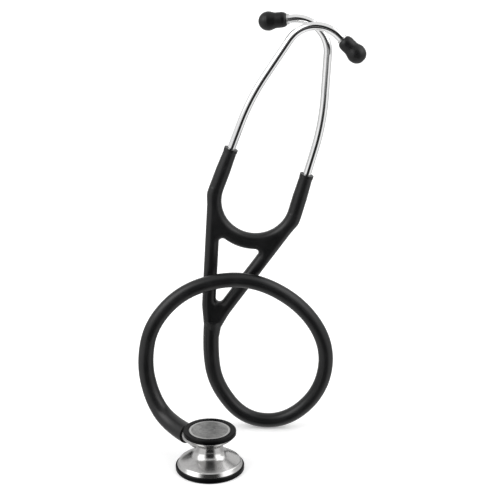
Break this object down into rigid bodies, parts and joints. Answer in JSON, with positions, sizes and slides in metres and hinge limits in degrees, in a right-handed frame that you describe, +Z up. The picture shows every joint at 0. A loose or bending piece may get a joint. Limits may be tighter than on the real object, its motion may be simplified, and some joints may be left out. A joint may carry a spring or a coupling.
{
  "type": "stethoscope",
  "caption": "Cardiology stethoscope: turning two-sided chestpiece, looped thick hose, moulded yoke with a triangular gap, crossed sprung ear tubes and soft eartips.",
  "frame": {"origin": "centre of the large diaphragm's side of the chestpiece, at the level of the rim that stands on the floor", "axes": "+Z up the chestpiece's axis and up the standing instrument; the yoke and the hose lie in planes that face -Y; +X to the right from the front"},
  "size_m": [0.144, 0.1003, 0.2778],
  "materials": {
    "chestpiece": "polished turned stainless steel",
    "rim": "satin moulded rim",
    "diaphragm": "matt composite membrane",
    "disc": "satin metal disc, bare",
    "stem": "polished",
    "seal": "matt",
    "steel_small": "bright steel",
    "tubing": "satin moulded PVC",
    "leaf": "spring steel, moulded in",
    "ear_tube": "polished tube",
    "eartip": "soft satin"
  },
  "bodies": {
    "headset_and_hose": {"hose": "tubing", "yoke": "tubing", "leaf_spring": "leaf", "left_shoulder": "tubing", "right_shoulder": "tubing", "stem": "stem", "stem_seal": "seal"},
    "chestpiece": {"chestpiece_body": "chestpiece", "large_rim": "rim", "small_rim": "rim", "detent_ball": "steel_small", "detent_spring": "steel_small", "detent_screw": "steel_small"},
    "large_diaphragm": {"large_diaphragm": "diaphragm"},
    "small_diaphragm": {"small_diaphragm": "diaphragm", "small_cover_disc": "disc"},
    "left_ear": {"left_arm": "tubing", "left_ear_tube": "ear_tube", "left_tip_adapter": "steel_small"},
    "right_ear": {"right_arm": "tubing", "right_ear_tube": "ear_tube", "right_tip_adapter": "steel_small"},
    "left_tip": {"left_eartip": "eartip"},
    "right_tip": {"right_eartip": "eartip"}
  },
  "joints": [
    {"name": "chestpiece_swivel", "type": "hinge", "parent": "headset_and_hose", "child": "chestpiece", "pos_m": [0, 0, 0.0153], "axis": [-0.6401, 0.7683, 0], "continuous": true},
    {"name": "large_diaphragm_press", "type": "slide", "parent": "chestpiece", "child": "large_diaphragm", "axis": [0, 0, 1], "range_m": [0, 0.0004], "stiffness_N_per_m": 1500},
    {"name": "small_diaphragm_press", "type": "slide", "parent": "chestpiece", "child": "small_diaphragm", "axis": [0, 0, -1], "range_m": [0, 0.00035], "stiffness_N_per_m": 1500},
    {"name": "left_spread", "type": "hinge", "parent": "headset_and_hose", "child": "left_ear", "pos_m": [0.00402, 0.062, 0.16705], "axis": [0, -1, 0], "range_deg": [0, 45], "stiffness_Nm_per_rad": 1.3, "deforming": ["left_shoulder", "leaf_spring"]},
    {"name": "right_spread", "type": "hinge", "parent": "headset_and_hose", "child": "right_ear", "pos_m": [0.05398, 0.062, 0.14935], "axis": [0, 1, 0], "range_deg": [0, 45], "stiffness_Nm_per_rad": 1.3, "deforming": ["right_shoulder", "leaf_spring"]},
    {"name": "left_eartip_pull", "type": "slide", "parent": "left_ear", "child": "left_tip", "axis": [0.7089, -0.1914, -0.6788], "range_m": [0, 0.012]},
    {"name": "right_eartip_pull", "type": "slide", "parent": "right_ear", "child": "right_tip", "axis": [-0.9732, 0.1914, -0.1274], "range_m": [0, 0.012]}
  ]
}
